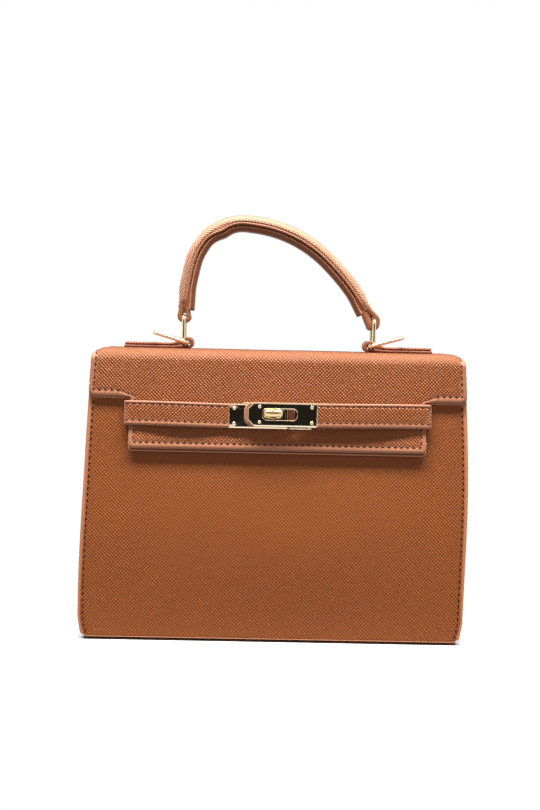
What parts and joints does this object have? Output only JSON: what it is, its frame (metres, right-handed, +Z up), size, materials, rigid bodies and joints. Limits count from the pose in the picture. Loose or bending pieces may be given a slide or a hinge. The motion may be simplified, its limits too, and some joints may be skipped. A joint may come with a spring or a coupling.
{
  "type": "top handle bag",
  "caption": "Structured leather bag with a tapered body, a folding flap held by straps on a turn lock, and a padded top handle on wire rings.",
  "frame": {"origin": "on the floor, under the middle of the base", "axes": "+Z up, +X to the right seen from the front, the front with the lock faces -Y"},
  "size_m": [0.25, 0.101, 0.28],
  "materials": {
    "tan_leather": "cross-grained, satin",
    "gold_metal": "polished pale gold",
    "lining_cloth": "plain twill",
    "board": "plain",
    "padding": "felted filler"
  },
  "bodies": {
    "body": {"base_panel": "tan_leather", "base_board": "board", "front_panel": "tan_leather", "back_panel": "tan_leather", "front_board": "board", "back_board": "board", "gusset_left": "tan_leather", "gusset_right": "tan_leather", "lining": "lining_cloth", "flap_anchor": "tan_leather", "lock_base": "gold_metal", "lock_backing": "gold_metal"},
    "turn_knob": {"turn_knob": "gold_metal"},
    "flap_top": {"flap_top": "tan_leather", "flap_top_backing": "tan_leather", "chape_left": "tan_leather", "chape_right": "tan_leather"},
    "flap_front": {"flap_front": "tan_leather", "flap_front_backing": "tan_leather", "flap_plate": "gold_metal"},
    "strap_left": {"strap_left": "tan_leather", "strap_left_plate": "gold_metal", "strap_left_rivets": "gold_metal"},
    "strap_right": {"strap_right": "tan_leather", "strap_right_plate": "gold_metal", "strap_right_rivets": "gold_metal"},
    "handle_ring_left": {"handle_ring_left": "gold_metal"},
    "handle_ring_right": {"handle_ring_right": "gold_metal"},
    "shoulder_ring_left": {"shoulder_ring_left": "gold_metal"},
    "shoulder_ring_right": {"shoulder_ring_right": "gold_metal"},
    "handle": {"handle_cover": "tan_leather", "handle_core": "padding", "handle_underlay": "tan_leather", "handle_loop_left": "tan_leather", "handle_loop_right": "tan_leather"}
  },
  "joints": [
    {"name": "flap_hinge", "type": "hinge", "parent": "body", "child": "flap_top", "pos_m": [0, 0.02977, 0.18669], "axis": [-1, 0, 0], "range_deg": [0, 120]},
    {"name": "front_fold", "type": "hinge", "parent": "flap_top", "child": "flap_front", "pos_m": [0, -0.03088, 0.18669], "axis": [-1, 0, 0], "range_deg": [0, 110]},
    {"name": "strap_left_fold", "type": "hinge", "parent": "flap_front", "child": "strap_left", "pos_m": [-0.099, -0.03654, 0.14705], "axis": [0, -0.1065, -0.9943], "range_deg": [0, 120]},
    {"name": "strap_right_fold", "type": "hinge", "parent": "flap_front", "child": "strap_right", "pos_m": [0.099, -0.03654, 0.14705], "axis": [0, 0.1065, 0.9943], "range_deg": [0, 120]},
    {"name": "knob_turn", "type": "hinge", "parent": "body", "child": "turn_knob", "pos_m": [-0.0032, -0.03455, 0.14684], "axis": [0, -0.9943, 0.1065], "range_deg": [0, 90]},
    {"name": "handle_sway", "type": "hinge", "parent": "flap_top", "child": "handle_ring_left", "pos_m": [-0.0642, 0, 0.1929], "axis": [0, 1, 0], "range_deg": [-25, 25]},
    {"name": "handle_left_pivot", "type": "hinge", "parent": "handle_ring_left", "child": "handle", "pos_m": [-0.0642, 0, 0.211], "axis": [0, 1, 0], "range_deg": [-25, 25]},
    {"name": "right_ring_sway", "type": "hinge", "parent": "flap_top", "child": "handle_ring_right", "pos_m": [0.0642, 0, 0.1929], "axis": [0, 1, 0], "range_deg": [-25, 25]},
    {"name": "shoulder_ring_left_lift", "type": "hinge", "parent": "flap_top", "child": "shoulder_ring_left", "pos_m": [-0.06135, 0, 0.1929], "axis": [0, 1, 0], "range_deg": [-12, 30]},
    {"name": "shoulder_ring_right_lift", "type": "hinge", "parent": "flap_top", "child": "shoulder_ring_right", "pos_m": [0.06135, 0, 0.1929], "axis": [0, -1, 0], "range_deg": [-12, 30]}
  ],
  "couplings": [
    {"joint": "handle_left_pivot", "follows": "handle_sway", "ratio": -1},
    {"joint": "right_ring_sway", "follows": "handle_sway", "ratio": 1}
  ]
}
